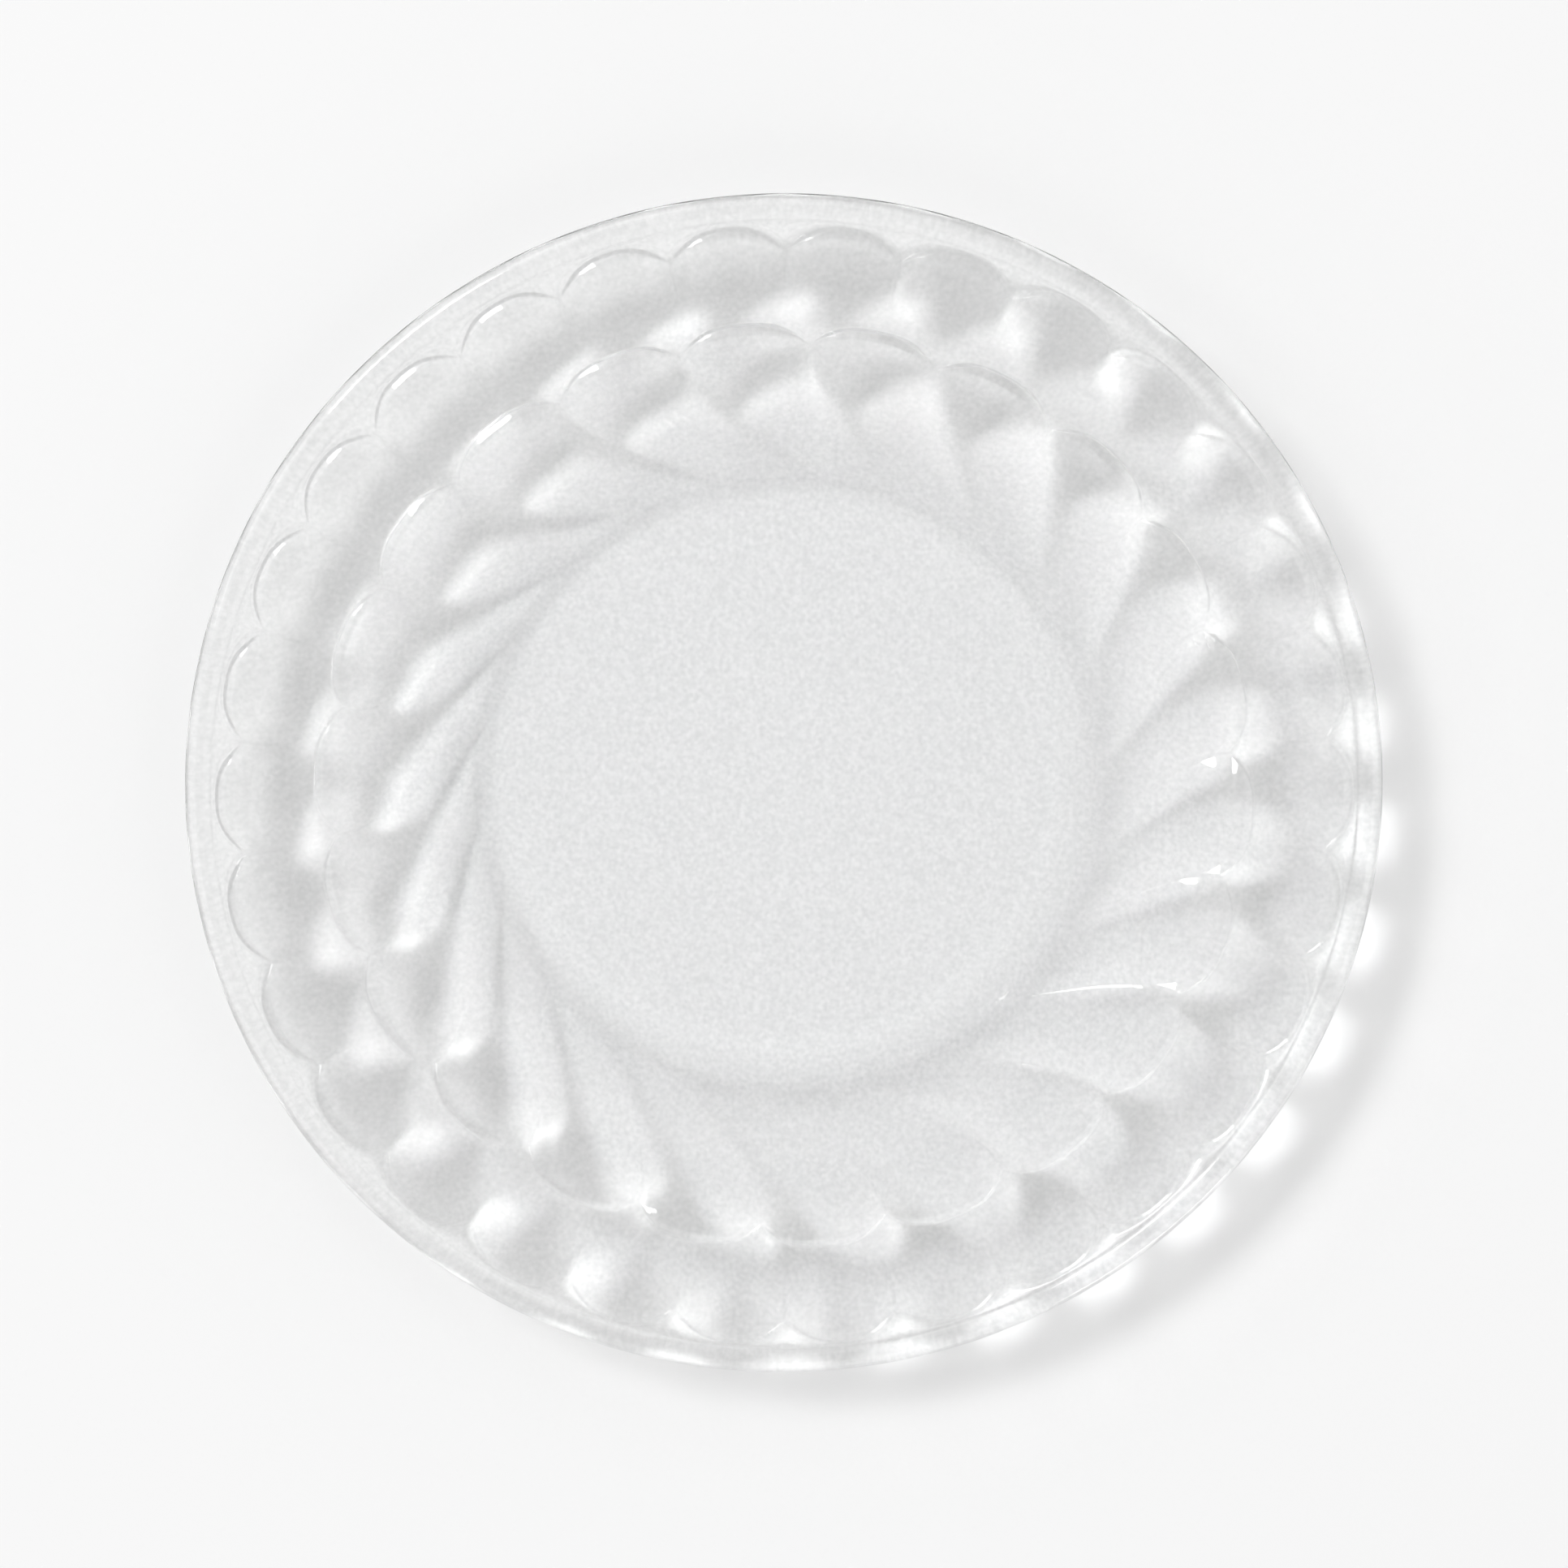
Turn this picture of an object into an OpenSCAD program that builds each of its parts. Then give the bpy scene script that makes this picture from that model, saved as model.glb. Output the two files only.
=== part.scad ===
// Scalloped dessert plate in clear pressed glass.
// One solid of glass: a dished plate, with two rings of raised lobes pressed into its upper face.
// The outer ring is made of short straight scallops, the inner ring of flutes that sweep into the well.
// Lengths are in millimetres and angles in degrees. The plate stands on its foot ring, with Z up.

/* [Plate] */
// Outside diameter over the rim
plate_d = 200; // [160:5:260]
// Height of the rim above the table
plate_h = 17; // [13:0.5:24]
// Thickness of the glass under the lobes, straight down
glass_t = 3.4; // [2.6:0.1:4.5]

/* [Rim] */
// How far the smooth bead on the rim rises over the border inside it
bead_rise = 1.2; // [0.6:0.1:2]
// Depth of the rounded edge, from the top of the bead to the widest point
edge_drop = 2.1; // [1.5:0.1:3]
// Slope of the border under the scallops, in degrees
border_angle = 9; // [4:0.5:14]

/* [Well and foot] */
// Height of the hollow inside the foot ring
foot_h = 0.8; // [0.4:0.1:2]
// Thickness of the flat well over the hollow inside the foot
well_t = 3.2; // [2.2:0.1:4]
// Width of the flat face that the plate rests on
foot_face_w = 2; // [1:0.1:4]
// Width of the sloped side inside the foot ring
foot_side_w = 4; // [2:0.5:8]

/* [Outer scallops] */
// How many scallops stand round the rim
scallop_count = 30; // [18:1:36]
// Height of a scallop over the border, at its crown
scallop_rise = 1.1; // [0.6:0.1:2.4]

/* [Inner flutes] */
// How many flutes run into the well
flute_count = 22; // [12:1:26]
// Height of a flute over the slope, at its crown
flute_rise = 1.4; // [0.6:0.1:2.4]
// How far a flute turns on its way into the well
flute_twist = 20; // [0:0.5:30]

/* [Parts] */
// Which part to show

/* [Hidden] */
plate_r = plate_d / 2;

// Radii of the pattern, each as a share of the plate's own radius.
rim_band_share = 0.956;
scallop_tip_share = 0.95;
scallop_cusp_share = 0.906;
scallop_full_share = 0.84;
scallop_start_share = 0.792;
flute_tip_share = 0.79;
flute_cusp_share = 0.75;
flute_full_share = 0.7;
flute_root_share = 0.512;
shoulder_share = 0.75;
shoulder_bend_share = 0.3;
well_corner_share = 0.537;
well_bend_share = 0.08;
rim_band_r = plate_r * rim_band_share;
scallop_tip_r = plate_r * scallop_tip_share;
scallop_cusp_r = plate_r * scallop_cusp_share;
scallop_full_r = plate_r * scallop_full_share;
scallop_start_r = plate_r * scallop_start_share;
flute_tip_r = plate_r * flute_tip_share;
flute_cusp_r = plate_r * flute_cusp_share;
flute_full_r = plate_r * flute_full_share;
flute_root_r = plate_r * flute_root_share;
shoulder_r = plate_r * shoulder_share;
shoulder_bend_r = plate_r * shoulder_bend_share;
well_corner_r = plate_r * well_corner_share;
well_bend_r = plate_r * well_bend_share;

// The face is a bowl: the flat well, a steep slope to the shoulder, and the flatter border up to the rim.
// A rounded bend joins each two of them.
well_z = foot_h + well_t;
border_top_z = plate_h - bead_rise;
shoulder_z = border_top_z - (rim_band_r - shoulder_r) * tan(border_angle);
slope_angle = atan2(shoulder_z - well_z, shoulder_r - well_corner_r);
well_bend_start_r = well_corner_r - well_bend_r * tan(slope_angle / 2);
well_bend_end_r = well_bend_start_r + well_bend_r * sin(slope_angle);
shoulder_bend_w = shoulder_bend_r * tan((slope_angle - border_angle) / 2);
shoulder_start_r = shoulder_r - shoulder_bend_w * cos(slope_angle);
shoulder_end_r = shoulder_r + shoulder_bend_w * cos(border_angle);
shoulder_centre_r = shoulder_end_r + shoulder_bend_r * sin(border_angle);

// Small forms of the rim and the foot. The underside of the slope runs straight down to the foot's face.
bead_r = (plate_r + rim_band_r) / 2;
edge_w = plate_r - bead_r;
under_edge_share = 0.8;
under_edge_w = edge_w * under_edge_share;
under_edge_r = plate_r - under_edge_w;
edge_z = plate_h - edge_drop;
foot_outer_r = well_corner_r - (well_z - glass_t) / tan(slope_angle);
foot_inner_r = foot_outer_r - foot_face_w;
hollow_r = foot_inner_r - foot_side_w;

// A lobe ends in an arched outline with a steep wall. Its crown falls a little to a valley on either side,
// and between two arches a notch cuts through the valleys, deepest at the cusps.
wall_angle = 36;
arch_power = 2.8;
valley_share = 0.3;
cusp_share = 0.2;
notch_angle = 30;
flute_notch_share = 0.07;
scallop_notch_share = 0.11;
flute_notch_run = plate_r * flute_notch_share;
scallop_notch_run = plate_r * scallop_notch_share;
swell_power = 1.2;
twist_power = 2;

// Rows of points across the lobes, as shares of the way from the root to the top of the wall.
flute_row_shares = [0, 0.09, 0.22, 0.37, 0.54, 0.72, 0.88, 1];
scallop_row_shares = [0.12, 0.35, 0.6, 0.82, 1];
flute_columns = 12;
scallop_columns = 10;
rim_columns = 144;
foot_columns = 120;

// A scallop points along X. The valleys of the flutes and of the scallops stand apart by a small angle.
scallop_pitch = 360 / scallop_count;
flute_pitch = 360 / flute_count;
scallop_first_valley = -scallop_pitch / 2;
flute_first_valley_share = 0.315;
flute_first_valley = flute_pitch * flute_first_valley_share;

// Step between the points of a rounded profile, and the margin that settles a tie between two near points.
arc_step = 30;
tie_margin = 0.000001;

// Height of the upper face of the plate, without lobes, at a radius.
function well_bend_z(radius) =
    well_z + well_bend_r - sqrt(pow(well_bend_r, 2) - pow(radius - well_bend_start_r, 2));

function slope_z(radius) = well_z + (radius - well_corner_r) * tan(slope_angle);

function shoulder_bend_z(radius) =
    slope_z(shoulder_start_r)
    + sqrt(pow(shoulder_bend_r, 2) - pow(shoulder_centre_r - radius, 2))
    - sqrt(pow(shoulder_bend_r, 2) - pow(shoulder_centre_r - shoulder_start_r, 2));

function border_z(radius) = border_top_z - (rim_band_r - radius) * tan(border_angle);

function face_z(radius) =
    radius <= well_bend_start_r ? well_z
    : radius <= well_bend_end_r ? well_bend_z(radius)
    : radius <= shoulder_start_r ? slope_z(radius)
    : radius <= shoulder_end_r ? shoulder_bend_z(radius)
    : border_z(radius);

// Place across a lobe, from -1 in one valley over 0 on the crown to 1 in the next valley.
function across(column, columns) = 2 * (column % columns) / columns - 1;

// A ring of lobes, as a list. The functions below read it by the names of its entries.
flutes = [flute_tip_r, flute_cusp_r, flute_root_r, flute_full_r, flute_rise, flute_pitch, flute_notch_run];
scallops = [
    scallop_tip_r, scallop_cusp_r, scallop_start_r, scallop_full_r,
    scallop_rise, scallop_pitch, scallop_notch_run
];

function tip_r(ring) = ring[0];
function cusp_r(ring) = ring[1];
function start_r(ring) = ring[2];
function full_r(ring) = ring[3];
function rise(ring) = ring[4];
function pitch(ring) = ring[5];
function notch_run(ring) = ring[6];

// Way along a circle that belongs to a turn.
function way(radius, turn) = 2 * PI * radius * turn / 360;

// Arched outline of a lobe, from its tip in the middle to its cusps.
function outline_r(ring, place) =
    tip_r(ring) - (tip_r(ring) - cusp_r(ring)) * pow(abs(place), arch_power);

// Cosine of the angle between the outline's normal and the plate's radius.
function outline_lean(ring, place) =
    let (fall = (tip_r(ring) - cusp_r(ring)) * arch_power * pow(abs(place), arch_power - 1))
    let (half_way = way(outline_r(ring, place), pitch(ring) / 2))
    cos(atan2(fall, half_way));

// Share of its full height that a lobe has at a radius.
function swell(ring, radius) =
    pow(min(1, max(0, (radius - start_r(ring)) / (full_r(ring) - start_r(ring)))), swell_power);

// Height of the crown over the plate's face, without the notches.
function crown_h(ring, place, radius) =
    rise(ring) * (1 - valley_share * pow(place, 2)) * swell(ring, radius);

// Height of the notch's two sides. They stand on a floor that climbs from cusp_share of the valley, at the
// cusp, to the whole valley.
function notch_h(ring, place, radius) =
    let (floor_share = min(1, max(cusp_share, (cusp_r(ring) - radius) / notch_run(ring))))
    let (aside = way(radius, (1 - abs(place)) * pitch(ring) / 2))
    crown_h(ring, 1, radius) * floor_share + aside * tan(notch_angle);

// Height of a lobe over the plate's face.
function lobe_h(ring, place, radius) = min(crown_h(ring, place, radius), notch_h(ring, place, radius));

// Radius of the top of a lobe's wall, whose height and angle give its width.
function wall_top_r(ring, place) =
    let (foot_r = outline_r(ring, place))
    foot_r - lobe_h(ring, place, foot_r) / tan(wall_angle) / outline_lean(ring, place);

// Angle that a flute has turned through at a radius, clockwise on its way in.
function flute_turn(radius) =
    -flute_twist * pow(max(0, (flute_cusp_r - radius) / (flute_cusp_r - flute_root_r)), twist_power);

function polar(radius, angle, height) = [radius * cos(angle), radius * sin(angle), height];

// A loop is [angle of its first point, list of its points]. Every loop runs once round the plate.
function circle_loop(columns, spot) = [
    0,
    [for (column = [0 : columns - 1]) polar(spot[0], 360 * column / columns, spot[1])]
];

// A loop over a ring of lobes. spot_of gives [radius, height over the face] at a place across a lobe.
function lobe_loop(count, columns, first_angle, spot_of, turn_of) = [
    first_angle,
    [
        for (column = [0 : count * columns - 1])
            let (spot = spot_of(across(column, columns)))
            let (angle = first_angle + 360 * column / (count * columns) + turn_of(spot[0]))
            polar(spot[0], angle, face_z(spot[0]) + spot[1])
    ]
];

// A spot on a lobe, at a share of the way from its start to the top of its wall.
function lobe_spot(ring, place, share) =
    let (radius = start_r(ring) + (wall_top_r(ring, place) - start_r(ring)) * share)
    [radius, lobe_h(ring, place, radius)];

function flute_loop(spot_of) =
    lobe_loop(flute_count, flute_columns, flute_first_valley, spot_of, function (radius) flute_turn(radius));

function scallop_loop(spot_of) =
    lobe_loop(scallop_count, scallop_columns, scallop_first_valley, spot_of, function (radius) 0);

// Each ring ends in the foot of its wall, which follows the arched outline on the plate's face.
flute_loops = concat(
    [for (share = flute_row_shares) flute_loop(function (place) lobe_spot(flutes, place, share))],
    [flute_loop(function (place) [outline_r(flutes, place), 0])]
);
scallop_loops = concat(
    [for (share = scallop_row_shares) scallop_loop(function (place) lobe_spot(scallops, place, share))],
    [scallop_loop(function (place) [outline_r(scallops, place), 0])]
);

// Points of an arc of an ellipse, as [radius, height].
function ellipse_arc(centre_r, centre_z, half_w, half_h, turns) = [
    for (turn = turns) [centre_r + half_w * cos(turn), centre_z + half_h * sin(turn)]
];

under_edge_z = border_z(under_edge_r) - glass_t;

// Profile of the rim: the bead, the rounded edge and the start of the underside.
rim_profile = concat(
    ellipse_arc(bead_r, border_top_z, bead_r - rim_band_r, bead_rise, [180 : -arc_step : 90]),
    ellipse_arc(bead_r, edge_z, edge_w, edge_drop, [90 - arc_step : -arc_step : 0]),
    ellipse_arc(under_edge_r, edge_z, under_edge_w, edge_z - under_edge_z, [-arc_step : -arc_step : -90])
);

// Profile of the underside: the bend under the shoulder, the foot ring and the hollow inside it.
foot_profile = [
    [shoulder_end_r, face_z(shoulder_end_r) - glass_t],
    [shoulder_r, face_z(shoulder_r) - glass_t],
    [shoulder_start_r, face_z(shoulder_start_r) - glass_t],
    [foot_outer_r, 0],
    [foot_inner_r, 0],
    [hollow_r, foot_h]
];

// All loops, from the edge of the well over the rim to the hollow in the foot.
loops = concat(
    flute_loops,
    scallop_loops,
    [for (spot = rim_profile) circle_loop(rim_columns, spot)],
    [for (spot = foot_profile) circle_loop(foot_columns, spot)]
);
points = concat([[0, 0, well_z]], [for (loop = loops) each loop[1]], [[0, 0, foot_h]]);

// Index of a loop's first point in the list of all points.
function first_index(number) = number == 0 ? 1 : first_index(number - 1) + len(loops[number - 1][1]);

// Number of the point of another loop that is nearest in angle to the middle of a side.
// lead is the share of a turn by which the side's own loop starts later.
// Of two loops that meet, one settles a tie upward and the other downward.
function nearest_up(side, total, other_total, lead) =
    floor(((side + 1 / 2) / total + lead) * other_total + 1 / 2 + tie_margin);

function nearest_down(side, total, other_total, lead) =
    ceil(((side + 1 / 2) / total + lead) * other_total - 1 / 2 - tie_margin);

// Triangles between two loops, which may have different numbers of points.
// Each side of one loop is closed by the nearest point of the other loop.
function band(number) =
    let (inner_first = first_index(number), inner_total = len(loops[number][1]))
    let (outer_first = first_index(number + 1), outer_total = len(loops[number + 1][1]))
    let (lead = (loops[number][0] - loops[number + 1][0]) / 360)
    concat(
        [
            for (side = [0 : inner_total - 1])
                let (facing = nearest_up(side, inner_total, outer_total, lead))
                [
                    inner_first + side,
                    inner_first + (side + 1) % inner_total,
                    outer_first + (facing + outer_total) % outer_total
                ]
        ],
        [
            for (side = [0 : outer_total - 1])
                let (facing = nearest_down(side, outer_total, inner_total, -lead))
                [
                    outer_first + (side + 1) % outer_total,
                    outer_first + side,
                    inner_first + (facing + inner_total) % inner_total
                ]
        ]
    );

well_total = len(loops[0][1]);
well_fan = [for (side = [0 : well_total - 1]) [0, 1 + (side + 1) % well_total, 1 + side]];
hollow_first = first_index(len(loops) - 1);
hollow_fan = [
    for (side = [0 : foot_columns - 1])
        [len(points) - 1, hollow_first + side, hollow_first + (side + 1) % foot_columns]
];
faces = concat(well_fan, [for (number = [0 : len(loops) - 2]) each band(number)], hollow_fan);

// The whole plate, pressed as one piece of clear glass.
module glass_plate() {
    color([0.93, 0.95, 0.95, 0.35])
        polyhedron(points, faces);
}

glass_plate();
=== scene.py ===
"""Scalloped dessert plate in clear pressed glass, on a pale sheet under a softbox.

The plate's own sizes are in millimetres, as on its drawing, and its angles in degrees. Everything
that goes into the scene is in metres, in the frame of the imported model, with the foot on Z = 0.
"""

import logging
import math
from dataclasses import dataclass, field
from enum import Enum
from typing import Sequence

import bpy
import numpy as np
from mathutils import Matrix, Vector

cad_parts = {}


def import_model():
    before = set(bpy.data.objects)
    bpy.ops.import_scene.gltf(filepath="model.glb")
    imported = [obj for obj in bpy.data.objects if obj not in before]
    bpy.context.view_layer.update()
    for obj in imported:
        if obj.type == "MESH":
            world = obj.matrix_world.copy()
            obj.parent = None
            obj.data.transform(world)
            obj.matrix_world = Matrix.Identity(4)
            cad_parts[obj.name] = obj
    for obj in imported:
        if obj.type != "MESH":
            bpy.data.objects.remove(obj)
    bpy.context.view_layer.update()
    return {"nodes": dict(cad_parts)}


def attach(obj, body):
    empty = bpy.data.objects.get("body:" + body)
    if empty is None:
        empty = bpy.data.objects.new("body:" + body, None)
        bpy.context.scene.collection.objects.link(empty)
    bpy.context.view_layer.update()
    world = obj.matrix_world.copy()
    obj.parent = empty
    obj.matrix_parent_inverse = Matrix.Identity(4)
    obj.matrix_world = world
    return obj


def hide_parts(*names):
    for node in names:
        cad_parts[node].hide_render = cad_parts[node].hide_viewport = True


LOG = logging.getLogger("dessert_plate")
METRES_PER_MM = 0.001


def smooth_lower(first: np.ndarray, second: np.ndarray, blend: float) -> np.ndarray:
    """Lower of two heights, rounded over where they meet.

    With h = 1/2 + (second - first) / (2 blend), held between 0 and 1, the height is
    second (1 - h) + first h - blend h (1 - h).

    Args:
        first: Heights of one surface.
        second: Heights of the other surface, in the same places.
        blend: Difference in height over which the two are blended.

    Returns:
        The blended heights.
    """
    share = np.clip(0.5 + 0.5 * (second - first) / blend, 0, 1)
    return second * (1 - share) + first * share - blend * share * (1 - share)


@dataclass(frozen=True)
class LobeRing:
    """A ring of equal lobes, each ending outward in an arch with a steep wall.

    Rows of points follow the lobes. The inner rows are at row_shares of the way from the line
    where the ring starts to the first of row_insets, and the others at row_insets inside the
    arched outline.
    """

    count: int
    tip_r: float
    cusp_r: float
    arch_power: float
    root_r: float
    full_r: float
    first_valley: float
    rise: float
    wall_angle: float
    toe_w: float
    toe_h: float
    valley_depth: float
    side_power: float
    notch_angle: float
    notch_len: float
    swell_power: float
    fillet: float
    row_shares: tuple[float, ...]
    row_insets: tuple[float, ...]
    twist: float = 0.0
    twist_power: float = 1.0

    @property
    def pitch(self) -> float:
        """Angle from one lobe to the next."""
        return 360 / self.count

    def outline(self, place: np.ndarray) -> np.ndarray:
        """Radius of the arched outline at a place, tip - (tip - cusp) |place|^arch_power."""
        return self.tip_r - (self.tip_r - self.cusp_r) * np.abs(place) ** self.arch_power

    def lean(self, place: np.ndarray) -> np.ndarray:
        """Cosine of the angle between the outline's normal and the plate's radius.

        It is 1 / sqrt(1 + s^2), with s the outline's slope, its change of radius over its way
        round the plate.
        """
        fall = (self.tip_r - self.cusp_r) * self.arch_power * np.abs(place) ** (self.arch_power - 1)
        slope = fall / (math.radians(self.pitch / 2) * self.outline(place))
        return 1 / np.sqrt(1 + slope**2)

    def swell(self, radius: np.ndarray) -> np.ndarray:
        """Share of the full rise that the lobe has at a radius: 0 at its root, 1 from full_r on."""
        share = np.clip((radius - self.root_r) / (self.full_r - self.root_r), 0, 1)
        return share**self.swell_power

    def turn(self, radius: np.ndarray) -> np.ndarray:
        """Angle by which the lobes have swung at a radius, clockwise on their way in."""
        share = np.clip((self.cusp_r - radius) / (self.cusp_r - self.root_r), 0, None)
        return -self.twist * share**self.twist_power

    def crown(self, place: np.ndarray, radius: np.ndarray) -> np.ndarray:
        """Height of the crown over the face, rise (1 - depth |place|^side_power) swell."""
        across = 1 - self.valley_depth * np.abs(place) ** self.side_power
        return self.rise * across * self.swell(radius)

    def height(
        self, place: np.ndarray, inset: np.ndarray, radius: np.ndarray, foot_drop: np.ndarray
    ) -> np.ndarray:
        """Height of the lobes over the face.

        It is the lowest of three, blended where they meet: the crown; the notch between two
        arches, whose floor climbs from the face to the valley over notch_len; and the wall,
        inset tan(wall_angle) + foot_drop over a short steep toe.

        Args:
            place: Place across the lobe, -1 and 1 in the valleys and 0 on the crown.
            inset: Distance inside the arched outline.
            radius: Distance from the plate's axis.
            foot_drop: How much lower the face is here than at the outline.

        Returns:
            Heights in millimetres, never under 0.
        """
        climbed = np.clip((self.cusp_r - radius) / self.notch_len, 0, 1)
        floor = self.crown(np.ones_like(place), radius) * climbed
        aside = (1 - np.abs(place)) * math.radians(self.pitch / 2) * radius
        notch = floor + aside * math.tan(math.radians(self.notch_angle))
        toe = self.toe_h * np.clip(inset / self.toe_w, 0, 1)
        wall = inset * math.tan(math.radians(self.wall_angle)) + foot_drop + toe
        top = smooth_lower(notch, self.crown(place, radius), self.fillet)
        return np.maximum(smooth_lower(wall, top, self.fillet), 0)


class Ring(Enum):
    """The two rings of lobes on the plate's upper face, each with its sizes."""

    SCALLOPS = LobeRing(
        count=30,
        tip_r=95.0,
        cusp_r=90.6,
        arch_power=2.6,
        root_r=77.5,
        full_r=89.0,
        first_valley=-6.0,
        rise=1.6,
        wall_angle=23.5,
        toe_w=0.65,
        toe_h=0.5,
        valley_depth=0.32,
        side_power=2.0,
        notch_angle=21.0,
        notch_len=9.0,
        swell_power=1.3,
        fillet=0.1,
        row_shares=(0.02, 0.1, 0.22, 0.36, 0.5, 0.64, 0.78, 0.9),
        row_insets=(4.2, 3.6, 3.1, 2.7, 2.4, 2.1, 1.8, 1.4, 0.9, 0.76, 0.66, 0.4, 0.08, 0.0),
    )
    FLUTES = LobeRing(
        count=22,
        tip_r=79.0,
        cusp_r=75.0,
        arch_power=3.0,
        root_r=51.2,
        full_r=72.0,
        first_valley=5.155,
        rise=1.8,
        wall_angle=23.0,
        toe_w=0.55,
        toe_h=0.55,
        valley_depth=0.4,
        side_power=2.0,
        notch_angle=21.0,
        notch_len=7.0,
        swell_power=1.2,
        fillet=0.1,
        row_shares=(0, 0.03, 0.07, 0.13, 0.2, 0.28, 0.37, 0.46, 0.55, 0.65, 0.75, 0.88),
        row_insets=(4.4, 3.6, 3.0, 2.7, 2.4, 2.1, 1.8, 1.4, 0.85, 0.65, 0.55, 0.45, 0.08, 0.0),
        twist=20.0,
        twist_power=2.0,
    )


@dataclass(frozen=True)
class ClearGlass:
    """Clear glass with the faint orange-peel skin that a pressing mould leaves."""

    dull_tint: tuple[float, float, float] = (0.895, 0.9, 0.898)
    clear_tint: tuple[float, float, float] = (1.0, 1.0, 1.0)
    tint_spread: float = 0.16
    refraction: float = 1.5
    skin_scale: float = 1200.0
    skin_detail: float = 2.0
    skin_depth: float = 0.000005

    def material(self) -> bpy.types.Material:
        """Node material of the glass."""
        made = bpy.data.materials.new("clear_glass")
        made.use_nodes = True
        nodes, links = made.node_tree.nodes, made.node_tree.links
        shader = nodes["Principled BSDF"]
        shader.inputs["Transmission Weight"].default_value = 1
        shader.inputs["Roughness"].default_value = 0
        shader.inputs["IOR"].default_value = self.refraction
        place = nodes.new("ShaderNodeTexCoord")
        skin = nodes.new("ShaderNodeTexNoise")
        skin.inputs["Scale"].default_value = self.skin_scale
        skin.inputs["Detail"].default_value = self.skin_detail
        links.new(place.outputs["Object"], skin.inputs["Vector"])
        tint = nodes.new("ShaderNodeValToRGB")
        dull, clear = tint.color_ramp.elements
        dull.position, clear.position = 0.5 - self.tint_spread, 0.5 + self.tint_spread
        dull.color, clear.color = (*self.dull_tint, 1), (*self.clear_tint, 1)
        links.new(skin.outputs["Fac"], tint.inputs["Fac"])
        links.new(tint.outputs["Color"], shader.inputs["Base Color"])
        bump = nodes.new("ShaderNodeBump")
        bump.inputs["Strength"].default_value = 1
        bump.inputs["Distance"].default_value = self.skin_depth
        links.new(skin.outputs["Fac"], bump.inputs["Height"])
        links.new(bump.outputs["Normal"], shader.inputs["Normal"])
        return made


@dataclass(frozen=True)
class PaleSheet:
    """Pale matt sheet that the plate stands on."""

    colour: tuple[float, float, float] = (0.9, 0.9, 0.9)

    def material(self) -> bpy.types.Material:
        """Node material of the sheet."""
        made = bpy.data.materials.new("pale_sheet")
        made.use_nodes = True
        shader = made.node_tree.nodes["Principled BSDF"]
        shader.inputs["Base Color"].default_value = (*self.colour, 1)
        shader.inputs["Roughness"].default_value = 1
        shader.inputs["Specular IOR Level"].default_value = 0
        return made


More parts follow.
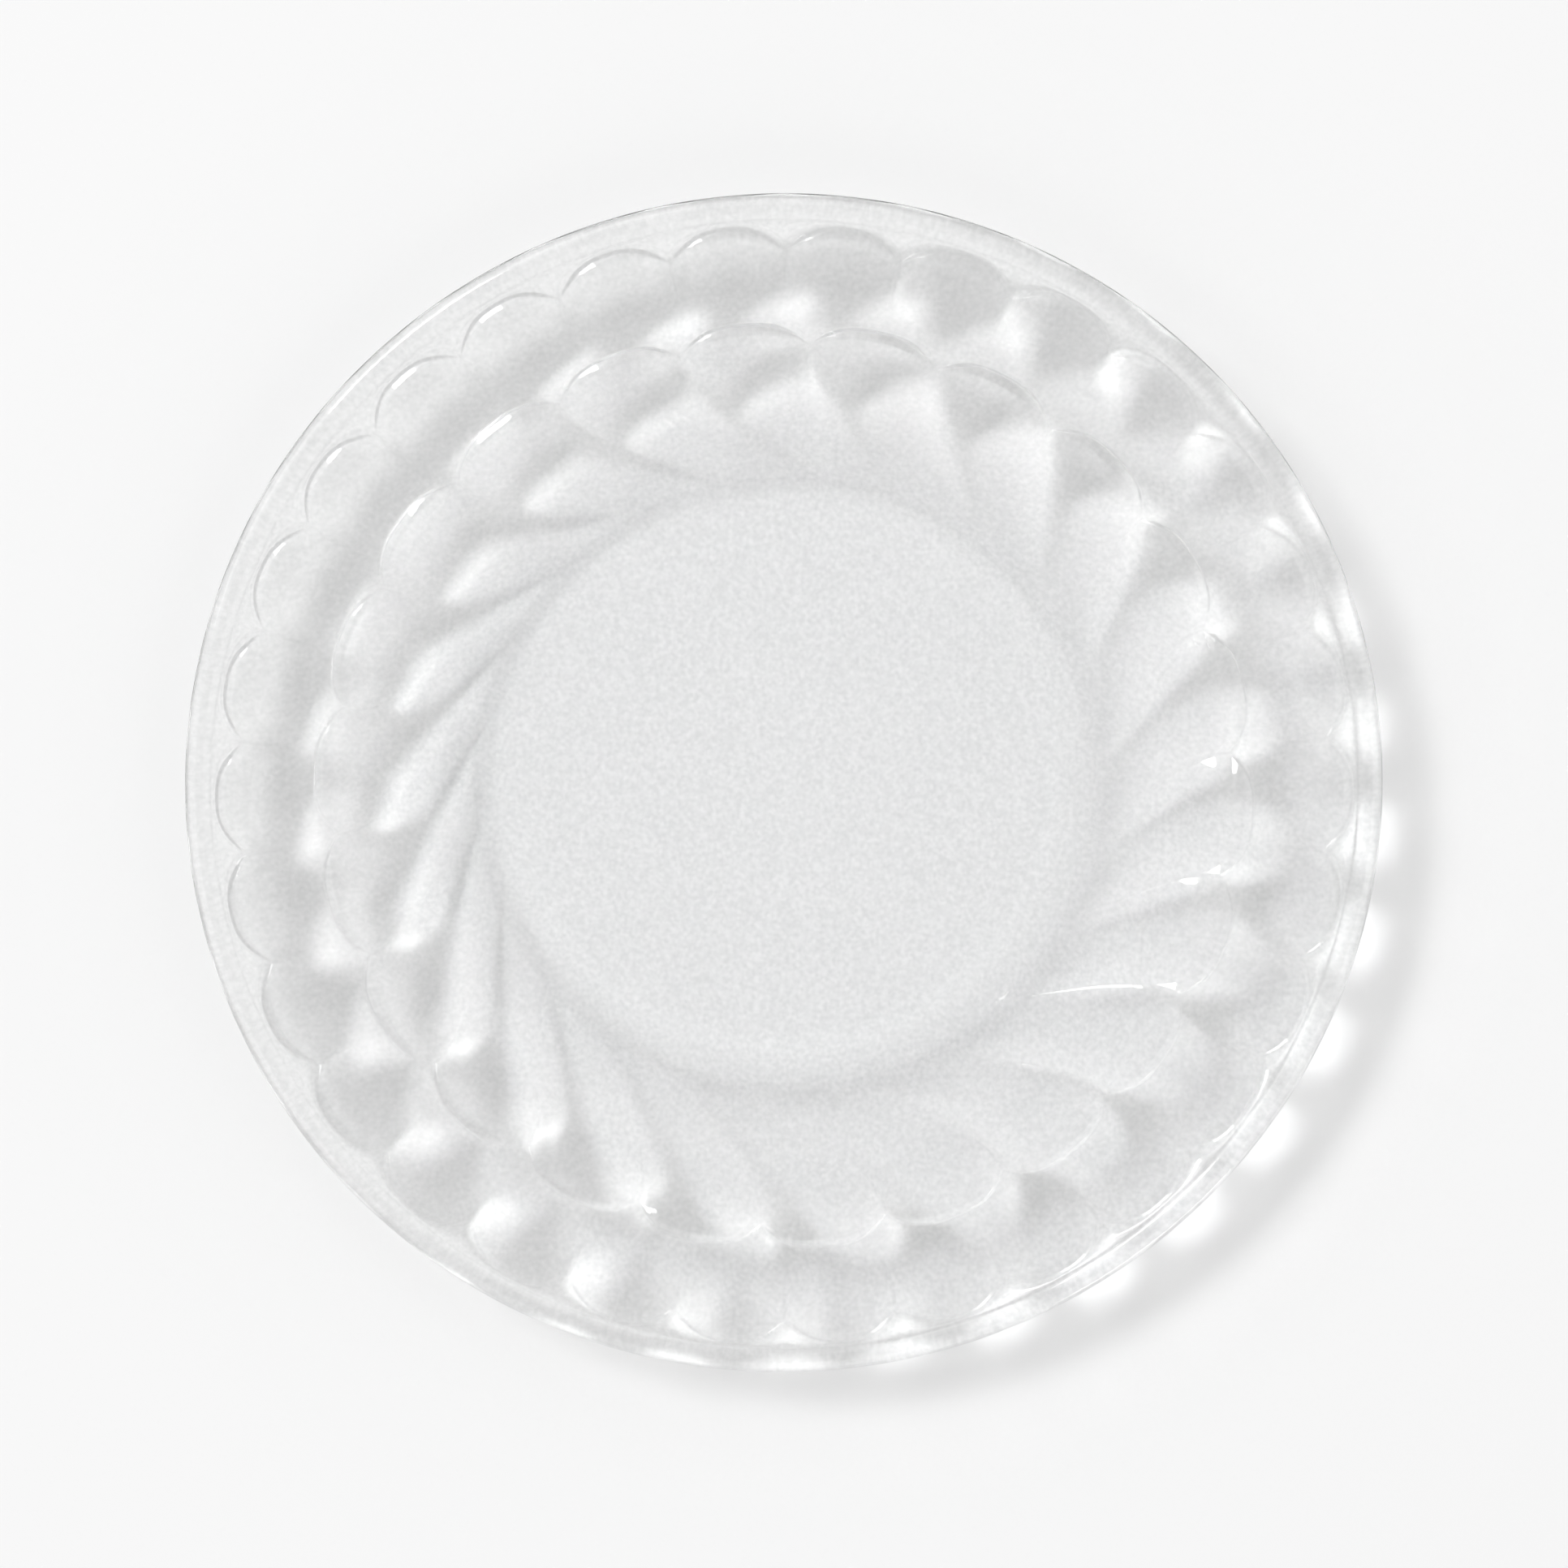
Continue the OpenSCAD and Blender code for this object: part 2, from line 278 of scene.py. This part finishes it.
@dataclass
class GlassPlate:
    """The plate, one closed skin of rows of points.

    The rows run round the plate, and follow each other from the middle of the well out over the
    lobes and the rim, and back under the plate to the middle of the hollow inside the foot.
    """

    radius: float = 100.0
    rim_z: float = 17.0
    glass_t: float = 3.4
    bead_rise: float = 1.2
    edge_drop: float = 2.1
    foot_h: float = 0.5
    well_t: float = 3.5
    rim_band_r: float = 95.6
    well_corner_r: float = 52.8
    well_bend_r: float = 3.5
    shoulder_r: float = 77.5
    shoulder_bend_r: float = 30.0
    rim_slope: float = 10.0
    foot_inner_r: float = 49.8
    foot_inner_flank: float = 7.0
    foot_fillet: float = 0.8

    # Columns of points round the plate, a multiple of the number of lobes in each ring, and the
    # share of the way across a ring over which they come into line with its lobes.
    columns: int = 990
    lining_share: float = 0.2

    # Radii of the plain rows, and the turns of the rim's three arcs: first, last and how many rows.
    well_rows: tuple[float, ...] = (15.0, 32.0, 46.0, 50.4)
    back_rows: tuple[float, ...] = (96.0, 88.0, 82.0, 79.0, 77.0, 75.0, 73.0, 70.0, 64.0, 58.0)
    foot_rows: tuple[float, ...] = (54.5, 53.8, 53.4, 53.1, 52.8, 52.5, 52.2, 51.8, 50.6)
    flank_row_count: int = 6
    hollow_row: float = 24.0
    bead_turns: tuple[float, float, int] = (180, 90, 7)
    edge_turns: tuple[float, float, int] = (78, 0, 7)
    under_turns: tuple[float, float, int] = (-18, -90, 5)
    under_share: float = 0.8

    glass: ClearGlass = field(default_factory=ClearGlass)

    def __post_init__(self) -> None:
        """Works out the two slopes and the bends between them from the plate's main sizes."""
        self.well_z = self.foot_h + self.well_t
        self.slope_top_z = self.rim_z - self.bead_rise
        self.flat = math.radians(self.rim_slope)
        flat_rise = (self.rim_band_r - self.shoulder_r) * math.tan(self.flat)
        steep_rise = self.slope_top_z - flat_rise - self.well_z
        self.steep = math.atan2(steep_rise, self.shoulder_r - self.well_corner_r)
        self.well_end_r = self.well_corner_r - self.well_bend_r * math.tan(self.steep / 2)
        half_bend = self.shoulder_bend_r * math.tan((self.steep - self.flat) / 2)
        self.shoulder_start_r = self.shoulder_r - half_bend * math.cos(self.steep)
        self.shoulder_end_r = self.shoulder_r + half_bend * math.cos(self.flat)
        self.rows: list[np.ndarray] = []

    def face_z(self, radius: np.ndarray) -> np.ndarray:
        """Height of the upper face without its lobes.

        From the middle out it is the flat well, an arc of well_bend_r, a steep cone, an arc of
        shoulder_bend_r that bends the other way, and a flatter cone up to the rim.
        """
        radius = np.asarray(radius, float)
        well_arc = self.well_bend_r * math.sin(self.steep)
        reach = np.clip(radius - self.well_end_r, 0, well_arc)
        height = self.well_z + self.well_bend_r - np.sqrt(self.well_bend_r**2 - reach**2)
        steep_run = self.shoulder_start_r - self.well_end_r - well_arc
        height += np.clip(radius - self.well_end_r - well_arc, 0, steep_run) * math.tan(self.steep)
        centre = self.shoulder_end_r + self.shoulder_bend_r * math.sin(self.flat)
        inside = np.clip(radius, self.shoulder_start_r, self.shoulder_end_r)
        first = math.sqrt(self.shoulder_bend_r**2 - (centre - self.shoulder_start_r) ** 2)
        height += np.sqrt(self.shoulder_bend_r**2 - (centre - inside) ** 2) - first
        return height + np.clip(radius - self.shoulder_end_r, 0, None) * math.tan(self.flat)

    def columns_of(self, ring: Ring) -> np.ndarray:
        """Number of each column counted from the ring's first valley.

        A column keeps its place in the row, so that it runs on from one ring to the next.
        """
        ahead = Ring.FLUTES.value.first_valley - ring.value.first_valley
        return np.arange(self.columns) + round(ahead * self.columns / 360)

    def place_across(self, ring: Ring) -> np.ndarray:
        """Place of each column across its lobe, from -1 in one valley to 1 in the next."""
        each = self.columns // ring.value.count
        return 2 * (self.columns_of(ring) % each) / each - 1

    def column_angles(self, ring: Ring) -> np.ndarray:
        """Angle of each column in a ring, the first valley plus equal steps."""
        return ring.value.first_valley + self.columns_of(ring) * 360 / self.columns

    def add_row(self, radius: np.ndarray, angle: np.ndarray, height: np.ndarray) -> None:
        """Adds a row of points, (r cos a, r sin a, z), once round the plate."""
        radius, height = (np.broadcast_to(value, angle.shape) for value in (radius, height))
        turn = np.radians(angle)
        self.rows.append(np.stack([radius * np.cos(turn), radius * np.sin(turn), height], -1))

    def add_ring_row(
        self, ring: Ring, radius: np.ndarray, inset: np.ndarray, angle: np.ndarray
    ) -> None:
        """Adds a row that lies on the lobes, at z = face + height of the lobes."""
        lobes, place = ring.value, self.place_across(ring)
        drop = self.face_z(lobes.outline(place)) - self.face_z(radius)
        height = self.face_z(radius) + lobes.height(place, inset, radius, drop)
        self.add_row(radius, angle + lobes.turn(radius), height)

    def add_well(self) -> None:
        """Adds the flat well's rows, in line with the roots of the flutes."""
        flutes = Ring.FLUTES.value
        angle = self.column_angles(Ring.FLUTES) + flutes.turn(np.array(flutes.root_r))
        for radius in self.well_rows:
            self.add_row(np.array(radius), angle, np.array(self.well_z))

    def add_lobes(self, ring: Ring, start_r: np.ndarray, start_angle: np.ndarray) -> None:
        """Adds a ring of lobes, from the line where it starts to the foot of its arched walls.

        Args:
            ring: The ring to add.
            start_r: Radius of the start line at each column.
            start_angle: Angle of each column on the start line. From there the columns come into
                line with the lobes.
        """
        lobes, place, angle = ring.value, self.place_across(ring), self.column_angles(ring)
        outline, lean = lobes.outline(place), lobes.lean(place)
        first_r = outline - lobes.row_insets[0] / lean
        for share in lobes.row_shares:
            radius = start_r + (first_r - start_r) * share
            here = start_angle + (angle - start_angle) * min(1.0, share / self.lining_share)
            self.add_ring_row(ring, radius, (outline - radius) * lean, here)
        for inset in lobes.row_insets:
            self.add_ring_row(ring, outline - inset / lean, np.full_like(place, inset), angle)

    def add_profile(self, spots: Sequence[tuple[float, float]]) -> None:
        """Adds plain rings of points at given radii and heights."""
        angle = self.column_angles(Ring.SCALLOPS)
        for radius, height in spots:
            self.add_row(np.array(radius), angle, np.array(height))

    def add_rim(self) -> None:
        """Adds the bead, the rounded edge and the turn into the underside.

        Each is a quarter of an ellipse, (centre + half width cos t, centre + half height sin t).
        """
        bead_r = (self.radius + self.rim_band_r) / 2
        edge_w = self.radius - bead_r
        edge_z = self.rim_z - self.edge_drop
        under_w = edge_w * self.under_share
        under_r = self.radius - under_w
        under_z = float(self.face_z(under_r)) - self.glass_t
        arcs = (
            (bead_r, self.slope_top_z, bead_r - self.rim_band_r, self.bead_rise, self.bead_turns),
            (bead_r, edge_z, edge_w, self.edge_drop, self.edge_turns),
            (under_r, edge_z, under_w, edge_z - under_z, self.under_turns),
        )
        for centre_r, centre_z, half_w, half_h, turns in arcs:
            turn = np.radians(np.linspace(*turns))
            spots = zip(centre_r + half_w * np.cos(turn), centre_z + half_h * np.sin(turn))
            self.add_profile(list(spots))

    def under_z(self, radius: np.ndarray) -> np.ndarray:
        """Height of the underside.

        Outside the foot it runs under the face at glass_t, with the cone carried straight on to the
        sheet. Inside the foot it climbs to foot_h over the inner flank as s^2 (3 - 2 s).
        """
        cone = self.well_z - self.glass_t + (radius - self.well_corner_r) * math.tan(self.steep)
        slope = np.minimum(cone, self.face_z(radius) - self.glass_t)
        slope = np.where(radius > self.well_corner_r + self.well_bend_r, slope, cone)
        outside = -smooth_lower(-slope, np.zeros_like(slope), self.foot_fillet)
        share = np.clip((self.foot_inner_r - radius) / self.foot_inner_flank, 0, 1)
        inside = self.foot_h * share**2 * (3 - 2 * share)
        return np.where(radius < self.foot_inner_r, inside, outside)

    def add_underside(self) -> None:
        """Adds the smooth back of the slopes, the foot and the shallow hollow inside it."""
        flank = self.foot_inner_r - self.foot_inner_flank * np.linspace(0, 1, self.flank_row_count)
        radii = np.concatenate([self.back_rows, self.foot_rows, flank, [self.hollow_row]])
        self.add_profile(list(zip(radii, self.under_z(radii))))

    def faces(self) -> list[list[int]]:
        """Corners of all faces: four-sided between the rows, and a fan of triangles at each end.

        The middle of the well and the middle of the hollow are the two points after the rows.
        """
        count, across = len(self.rows), self.columns
        column = np.arange(across)
        beside = (column + 1) % across
        start = np.arange(count - 1)[:, None] * across
        quads = [start + column, start + across + column, start + across + beside, start + beside]
        well_middle, hollow_middle = np.full((2, across), [[count * across], [count * across + 1]])
        last = (count - 1) * across
        top = np.stack([well_middle, column, beside], -1)
        under = np.stack([hollow_middle, last + beside, last + column], -1)
        return np.stack(quads, -1).reshape(-1, 4).tolist() + top.tolist() + under.tolist()

    def build(self) -> bpy.types.Object:
        """Makes the plate's mesh from its rows.

        Returns:
            The plate as one closed piece.
        """
        flutes, start_angle = Ring.FLUTES.value, self.column_angles(Ring.FLUTES)
        self.add_well()
        self.add_lobes(Ring.FLUTES, np.array(flutes.root_r), start_angle)
        self.add_lobes(Ring.SCALLOPS, flutes.outline(self.place_across(Ring.FLUTES)), start_angle)
        self.add_rim()
        self.add_underside()
        ends = [[0, 0, self.well_z], [0, 0, self.foot_h]]
        points = np.concatenate([np.concatenate(self.rows), ends]) * METRES_PER_MM
        mesh = bpy.data.meshes.new("glass_plate_skin")
        mesh.from_pydata(points.tolist(), [], self.faces())
        mesh.shade_smooth()
        mesh.materials.append(self.glass.material())
        plate = bpy.data.objects.new("pressed_glass_plate", mesh)
        bpy.context.scene.collection.objects.link(plate)
        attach(plate, "root")
        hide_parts("glass_plate")
        LOG.info("%s: %d rows, %d points", plate.name, len(self.rows), len(points))
        return plate


@dataclass(frozen=True)
class Panel:
    """A flat panel of light, hung so that it faces the plate, in metres, degrees and watts."""

    name: str
    width: float
    height: float
    elevation: float
    power: float


@dataclass
class Studio:
    """The sheet, the softbox, the light of the room and the camera, in metres and degrees.

    Each part of room_light is the height of a direction, its Z, and the level of light from there.
    """

    sheet_half: float = 6.0
    sheet_z: float = -0.0001
    key_azimuth: float = 137.0
    key_distance: float = 8.0
    core: Panel = Panel("softbox_core", 2.5, 1.5, 45.0, 185.0)
    wings: Panel = Panel("softbox_wings", 9.0, 3.6, 37.0, 125.0)
    room_light: tuple[tuple[float, float], ...] = (
        (0.0, 0.45),
        (0.2, 0.5),
        (0.34, 0.9),
        (0.87, 0.9),
        (0.94, 0.2),
    )
    camera_distance: float = 0.76
    camera_lean: tuple[float, float] = (-0.015, 0.18)
    camera_target: tuple[float, float, float] = (-0.0002, 0.0025, 0.0175)
    plate_radius: float = 0.1
    pixels_per_radius: float = 740.0
    picture_side: int = 1932
    sensor_mm: float = 36.0
    sheet: PaleSheet = field(default_factory=PaleSheet)

    def lay_sheet(self) -> bpy.types.Object:
        """Lays the pale sheet just under the foot."""
        half = self.sheet_half
        corners = [(-half, -half), (half, -half), (half, half), (-half, half)]
        mesh = bpy.data.meshes.new("sheet")
        mesh.from_pydata([(x, y, self.sheet_z) for x, y in corners], [], [(0, 1, 2, 3)])
        mesh.materials.append(self.sheet.material())
        sheet = bpy.data.objects.new("sheet", mesh)
        bpy.context.scene.collection.objects.link(sheet)
        return sheet

    def hang_softbox(self) -> None:
        """Hangs the wide softbox with its brighter core, both turned to the plate."""
        side = math.radians(self.key_azimuth)
        for panel in (self.core, self.wings):
            up = math.radians(panel.elevation)
            across = math.cos(up)
            towards = Vector((across * math.cos(side), across * math.sin(side), math.sin(up)))
            lamp = bpy.data.lights.new(panel.name, "AREA")
            lamp.shape = "RECTANGLE"
            lamp.size, lamp.size_y = panel.width, panel.height
            lamp.energy = panel.power
            softbox = bpy.data.objects.new(panel.name, lamp)
            bpy.context.scene.collection.objects.link(softbox)
            softbox.location = towards * self.key_distance
            softbox.rotation_euler = (-towards).to_track_quat("-Z", "Y").to_euler()

    def light_room(self) -> bpy.types.World:
        """Lights the room from all sides, with pale walls and a dark ceiling over the camera."""
        room = bpy.data.worlds.new("room")
        room.use_nodes = True
        nodes, links = room.node_tree.nodes, room.node_tree.links
        direction = nodes.new("ShaderNodeTexCoord")
        height_of = nodes.new("ShaderNodeSeparateXYZ")
        links.new(direction.outputs["Generated"], height_of.inputs["Vector"])
        levels = nodes.new("ShaderNodeValToRGB")
        ramp = levels.color_ramp
        while len(ramp.elements) < len(self.room_light):
            ramp.elements.new(0.5)
        for stop, (height, level) in zip(ramp.elements, self.room_light):
            stop.position = height
            stop.color = (level, level, level, 1)
        links.new(height_of.outputs["Z"], levels.inputs["Fac"])
        links.new(levels.outputs["Color"], nodes["Background"].inputs["Color"])
        bpy.context.scene.world = room
        return room

    def set_camera(self) -> bpy.types.Object:
        """Sets the camera above the plate, leaning a little to its far side."""
        lens = bpy.data.cameras.new("camera")
        camera = bpy.data.objects.new("camera", lens)
        bpy.context.scene.collection.objects.link(camera)
        across, along = self.camera_lean
        target = Vector(self.camera_target)
        upright = math.sqrt(1 - across**2 - along**2)
        place = Vector((across, along, upright)) * self.camera_distance + Vector((0, 0, target.z))
        back = (place - target).normalized()
        right = Vector((0, 1, 0)).cross(back).normalized()
        turned = Matrix((right, back.cross(right), back)).transposed().to_4x4()
        turned.translation = place
        camera.matrix_world = turned
        lens.sensor_width = self.sensor_mm
        focal_pixels = self.pixels_per_radius * self.camera_distance / self.plate_radius
        lens.lens = focal_pixels / self.picture_side * self.sensor_mm
        bpy.context.scene.camera = camera
        return camera

    def set_up(self) -> None:
        """Makes the whole studio, and keeps the patterns of light under the clear glass."""
        self.lay_sheet()
        self.hang_softbox()
        self.light_room()
        self.set_camera()
        scene = bpy.context.scene
        scene.view_settings.view_transform = "Standard"
        scene.cycles.blur_glossy = 0
        scene.cycles.sample_clamp_indirect = 0


def main() -> None:
    """Loads the frame, builds the plate over it and sets up the studio."""
    logging.basicConfig(level=logging.INFO, format="%(message)s")
    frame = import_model()
    LOG.info("frame: %s", ", ".join(frame["nodes"]))
    GlassPlate().build()
    Studio().set_up()


if __name__ == "__main__":
    main()
